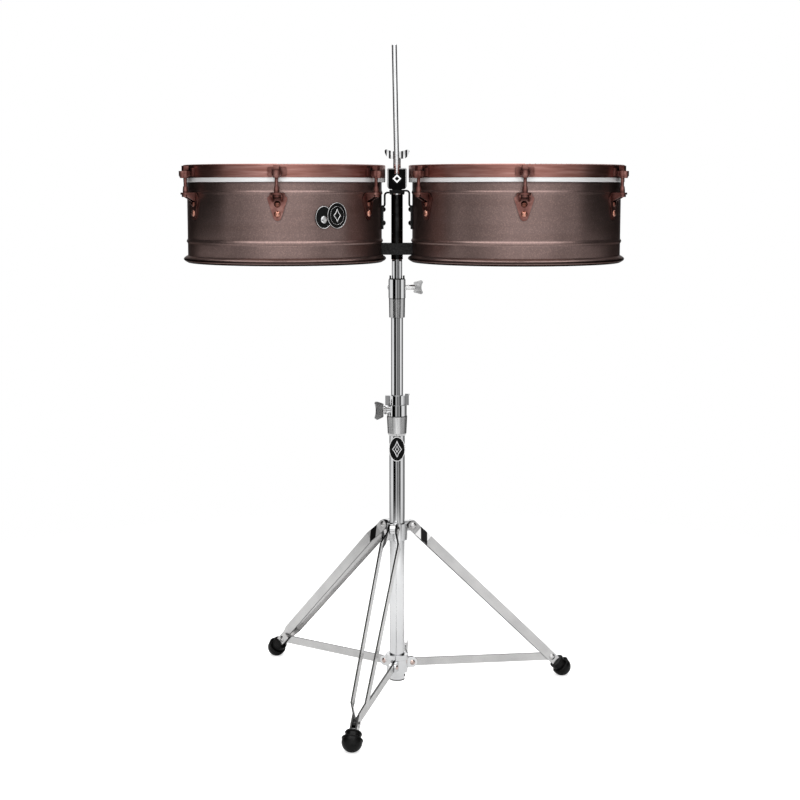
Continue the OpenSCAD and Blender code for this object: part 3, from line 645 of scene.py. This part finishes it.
def lozenge(middle, half_w, half_h, steps=8):
    """A diamond with slightly hollow sides."""
    tips = [(half_w, 0), (0, half_h), (-half_w, 0), (0, -half_h)]
    outline = []
    for (ax, ay), (bx, by) in zip(tips, tips[1:] + tips[:1]):
        for k in range(steps):
            t = k / steps
            pull = 1 - LOZENGE_HOLLOW * t * (1 - t)
            outline.append((middle[0] + pull * (ax + (bx - ax) * t),
                            middle[1] + pull * (ay + (by - ay) * t)))
    return outline


# The shell's badge: direction from its drum's axis, and its ovals as (middle, half width, half height)
BADGE_TURN = math.radians(31 - 90)
BADGE_OUT = Vector((math.cos(BADGE_TURN), math.sin(BADGE_TURN), 0))
BADGE_FACE_R = 0.180
LEFT_OVAL = ((-0.015, -0.003), 0.015, 0.019)
RIGHT_OVAL = ((0.011, 0.0), 0.019, 0.022)
TRIM_R = 0.00055
# On the right oval: sizes as shares of its half width and half height, wires as shares of the trim's radius
INNER_RING, INNER_RING_WIRE = (0.72, 0.72), 0.4
BADGE_LOZENGE, BADGE_LOZENGE_WIRE = (0.36, 0.5), 1.6
# The boss on the left oval: how far under its middle, radius and height
BOSS_DROP, BOSS_R, BOSS_H = 0.004, 0.0065, 0.0012
# The lozenges on the stand's badge, as (half width, half height, wire radius)
STAND_LOZENGES = [(0.0085, 0.015, 0.0011), (0.0035, 0.0065, 0.0009)]


def on_shell_badge(across, up):
    """A point of the left shell's badge face, from its place across and up from the badge's middle."""
    shell_low, shell_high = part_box("shell_left")
    badge_low, badge_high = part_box("shell_badge")
    axis = Vector(((shell_low[0] + shell_high[0]) / 2, 0, (badge_low[2] + badge_high[2]) / 2))
    side = Vector((-BADGE_OUT.y, BADGE_OUT.x, 0))
    depth = math.sqrt(BADGE_FACE_R ** 2 - across ** 2)
    return axis + depth * BADGE_OUT + across * side + Vector((0, 0, up))


def inside(point, oval):
    (x, y), half_w, half_h = oval
    return ((point[0] - x) / half_w) ** 2 + ((point[1] - y) / half_h) ** 2 < 1


def build_shell_badge_trim(mesh):
    """Silver wire round both ovals, a thin inner ring, a plain lozenge and a small boss."""
    def wire(outline, radius, closed=True):
        add_tube(mesh, [on_shell_badge(*point) for point in outline], radius, closed)

    middle, half_w, half_h = RIGHT_OVAL
    wire(ellipse(*RIGHT_OVAL), TRIM_R)
    wire([point for point in ellipse(*LEFT_OVAL) if not inside(point, RIGHT_OVAL)], TRIM_R, False)
    wire(ellipse(middle, INNER_RING[0] * half_w, INNER_RING[1] * half_h), INNER_RING_WIRE * TRIM_R)
    wire(lozenge(middle, BADGE_LOZENGE[0] * half_w, BADGE_LOZENGE[1] * half_h),
         BADGE_LOZENGE_WIRE * TRIM_R)
    (left_x, left_y), _, _ = LEFT_OVAL
    add_dome(mesh, on_shell_badge(left_x, left_y - BOSS_DROP), BADGE_OUT, BOSS_R, BOSS_H)


def build_stand_badge_mark(mesh):
    """Two plain lozenges of raised wire, one in the other, on the stand's oval badge."""
    low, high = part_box("stand_badge")
    middle_z = (low[2] + high[2]) / 2
    for half_w, half_h, radius in STAND_LOZENGES:
        points = [Vector((x, low[1], middle_z + z)) for x, z in lozenge((0, 0), half_w, half_h)]
        add_tube(mesh, points, radius, True)


# The rubber feet: radius of the ball, direction of the leg's axis as (outward, up), and the
# raised rings as (distance back along the axis from the ball's middle, ring radius, wire radius)
FOOT_R = 0.018
LEG_SLOPE = Vector((0.287, -0.281)).normalized()
FOOT_RINGS = [(0.0145, 0.0138, 0.0012), (0.0035, 0.0176, 0.0012)]
FOOT_RING_STEPS = 48


def foot_axis(leg):
    """Middle of the foot's ball and the direction of the leg's axis."""
    low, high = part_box("foot_" + leg)
    turn = math.radians(LEG_AZIMUTHS[leg])
    outward = (math.cos(turn), math.sin(turn))
    middle = [high[k] - FOOT_R if outward[k] > 0 else low[k] + FOOT_R for k in (0, 1)]
    along = Vector((LEG_SLOPE[0] * outward[0], LEG_SLOPE[0] * outward[1], LEG_SLOPE[1]))
    return Vector((*middle, low[2] + FOOT_R)), along


def build_foot_rings(leg):
    """The two raised rings of a foot."""
    def build(mesh):
        middle, along = foot_axis(leg)
        side = along.cross(Vector((0, 0, 1))).normalized()
        over = along.cross(side)
        for back, ring_r, wire_r in FOOT_RINGS:
            points = [middle - back * along + ring_r * (x * side + y * over)
                      for x, y in ellipse((0, 0), 1, 1, FOOT_RING_STEPS)]
            add_tube(mesh, points, wire_r, True)
    return build


def add_details(materials):
    for leg in LEGS:
        add_mesh("foot_rings_" + leg, build_foot_rings(leg), "leg_" + leg, materials["rubber"])
    add_mesh("shell_badge_trim", build_shell_badge_trim, "drums", materials["silver"])
    add_mesh("stand_badge_mark", build_stand_badge_mark, "base", materials["silver"])


# ------------------------------------------------------------------ rounding of sharp edges

# Width of the rounding of each node's sharp edges, and the least angle between faces that it rounds
BEVEL_MM = {
    "claws": 1.0, "lugs": 0.8, "head_block": 1.6, "hangers": 0.4, "shell_spacer": 1.0,
    "top_wing_bolt": 0.9, "upper_wing_bolt": 0.9, "lower_wing_bolt": 0.9, "brace_hub_wing_screw": 0.9,
    "memory_lock": 0.8, "lower_clamp": 0.6, "upper_clamp": 0.6, "leg_hub": 0.6, "brace_hub": 0.6,
    "cowbell_post_bolt": 0.5, "shell_badge": 0.3, "stand_badge": 0.3,
    **{kind + leg: 0.35 for leg in LEGS for kind in ("leg_", "brace_")},
    **{"foot_" + leg: 0.8 for leg in LEGS},
}
BEVEL_ANGLE_DEG = 40


def round_edges():
    for node, width in BEVEL_MM.items():
        bevel = NODES[node].modifiers.new("round", "BEVEL")
        bevel.width = width / 1000
        bevel.segments = 2
        bevel.limit_method = "ANGLE"
        bevel.angle_limit = math.radians(BEVEL_ANGLE_DEG)
        bevel.harden_normals = False


# ------------------------------------------------------------------ stage

FLOOR_RADIUS = 1.7
FLOOR_FADE_FROM = 0.8        # metres from the middle, where the floor starts to fade out
FLOOR_LIFT = 0.62            # glow that only the camera sees


def add_floor():
    """A plain white disc with a soft edge, a little brighter to the camera than in reflections."""
    bpy.ops.mesh.primitive_circle_add(vertices=96, radius=FLOOR_RADIUS, fill_type="NGON")
    floor = bpy.context.object
    floor.name = "floor"
    made, g, shader = new_material("floor_white")
    output = made.node_tree.nodes["Material Output"]
    g.link(g.ramp(g.noise(2, 2), [(0.3, grey(0.81)), (0.7, grey(0.83))]), shader.inputs["Base Color"])
    shader.inputs["Roughness"].default_value = 0.65
    shader.inputs["Specular IOR Level"].default_value = 0.1
    shader.inputs["Emission Color"].default_value = (1, 1, 1, 1)
    path = g.node("ShaderNodeLightPath")
    glow = g.math("MULTIPLY", path.outputs["Is Camera Ray"], FLOOR_LIFT)
    g.link(glow, shader.inputs["Emission Strength"])
    distance = g.node("ShaderNodeVectorMath", operation="LENGTH")
    g.link(g.coords(), distance.inputs[0])
    fade = g.node("ShaderNodeMapRange", interpolation_type="SMOOTHSTEP")
    fade.inputs["From Min"].default_value = FLOOR_FADE_FROM
    fade.inputs["From Max"].default_value = FLOOR_RADIUS
    g.link(distance.outputs["Value"], fade.inputs["Value"])
    clear = g.node("ShaderNodeBsdfTransparent")
    blend = g.node("ShaderNodeMixShader")
    g.link(fade.outputs["Result"], blend.inputs["Fac"])
    g.link(shader.outputs["BSDF"], blend.inputs[1])
    g.link(clear.outputs["BSDF"], blend.inputs[2])
    g.link(blend.outputs["Shader"], output.inputs["Surface"])
    paint(floor, made)


# Studio walls at eye level: direction in degrees from the camera's side towards +X, and brightness
STUDIO = [
    (-180, 0.10), (-127, 0.05), (-117, 0.70), (-64, 0.85), (-58, 0.0), (-22, 0.0), (-16, 0.50), (-3, 0.42),
    (3, 0.14), (16, 0.14), (21, 0.36), (30, 0.36), (35, 0.02), (52, 0.02), (59, 0.80), (84, 0.85),
    (102, 0.50), (120, 0.10), (180, 0.08),
]
# Walls above and below eye level, dark at both sides of the object
SURROUND = [
    (-180, 1.0), (-145, 0.55), (-118, 0.0), (-90, 0.05), (-60, 0.42), (-30, 1.15), (0, 1.50), (30, 1.30),
    (60, 0.48), (90, 0.05), (118, 0.0), (145, 0.55), (180, 1.0),
]
# Heights of directions, from -1 (straight down) over 0 (level) to 1 (straight up): where the walls at eye
# level fade in and out, and where the ceiling fades in
EYE_LEVEL = (-0.23, -0.20, -0.032, -0.012)
CEILING = (0.72, 0.86)


def share_of_turn(degrees):
    return (degrees + 180) / 360


def share_of_height(level):
    return (level + 1) / 2


def add_world():
    """Studio walls and ceiling for light and reflections, plain white to the camera."""
    world = bpy.data.worlds.new("studio")
    world.use_nodes = True
    bpy.context.scene.world = world
    g = Graph(world.node_tree)
    background = world.node_tree.nodes["Background"]
    where = g.node("ShaderNodeTexCoord")
    parts = g.node("ShaderNodeSeparateXYZ")
    g.link(where.outputs["Generated"], parts.inputs["Vector"])
    turn = g.math("ARCTAN2", parts.outputs["X"], g.math("MULTIPLY", parts.outputs["Y"], -1.0))
    place = g.math("ADD", g.math("DIVIDE", turn, 2 * math.pi), 0.5)
    eye_level = g.ramp(place, [(share_of_turn(degrees), grey(v)) for degrees, v in STUDIO])
    surround = g.ramp(place, [(share_of_turn(degrees), grey(v)) for degrees, v in SURROUND])
    height = g.math("ADD", g.math("MULTIPLY", parts.outputs["Z"], 0.5), 0.5)
    band = g.ramp(height, [(share_of_height(z), grey(v)) for z, v in zip(EYE_LEVEL, (0, 1, 1, 0))])
    ceiling = g.ramp(height, [(share_of_height(z), grey(v)) for z, v in zip(CEILING, (0, 1))])
    walls = g.mix(band, surround, eye_level)
    lit = g.mix(ceiling, walls, grey(0.6))
    seen = g.node("ShaderNodeLightPath")
    g.link(g.mix(seen.outputs["Is Camera Ray"], lit, grey(1.0)), background.inputs["Color"])


# Black cards beside the drums keep the studio's side walls out of the shells: X, and the spans of Y and Z
CARD_X = 0.80
CARD_Y = (-0.35, 0.9)
CARD_Z = (0.83, 1.35)


def add_cards():
    """A black card on each side, seen in reflections only."""
    made, g, shader = new_material("card_black")
    g.link(g.ramp(g.noise(8, 2), [(0.3, grey(0.01)), (0.7, grey(0.02))]), shader.inputs["Base Color"])
    shader.inputs["Roughness"].default_value = 0.9
    shader.inputs["Specular IOR Level"].default_value = 0.0
    for side, x in zip(SIDES, (-CARD_X, CARD_X)):
        data = bpy.data.meshes.new("card_" + side)
        corners = [(x, y, z) for y, z in zip((CARD_Y[0], CARD_Y[1], CARD_Y[1], CARD_Y[0]),
                                             (CARD_Z[0], CARD_Z[0], CARD_Z[1], CARD_Z[1]))]
        data.from_pydata(corners, [], [(0, 1, 2, 3)])
        card = bpy.data.objects.new("card_" + side, data)
        bpy.context.scene.collection.objects.link(card)
        card.visible_camera = False
        card.visible_shadow = False
        paint(card, made)


# The overhead light: place, side of its square and watts
OVERHEAD_AT = Vector((0, -0.2, 4.2))
OVERHEAD_SIZE = 5.5
OVERHEAD_WATTS = 190


def add_overhead_light():
    """A square light over the object that faces the origin."""
    data = bpy.data.lights.new("overhead", "AREA")
    data.shape = "SQUARE"
    data.size = OVERHEAD_SIZE
    data.energy = OVERHEAD_WATTS
    light = bpy.data.objects.new("overhead", data)
    light.location = OVERHEAD_AT
    light.rotation_euler = (-OVERHEAD_AT).to_track_quat("-Z", "Y").to_euler()
    bpy.context.scene.collection.objects.link(light)


# ------------------------------------------------------------------ build

add_camera()
MATERIALS = make_materials()
paint_frame(MATERIALS)
add_details(MATERIALS)
round_edges()
add_floor()
add_world()
add_cards()
add_overhead_light()
bpy.context.scene.view_settings.view_transform = "Standard"
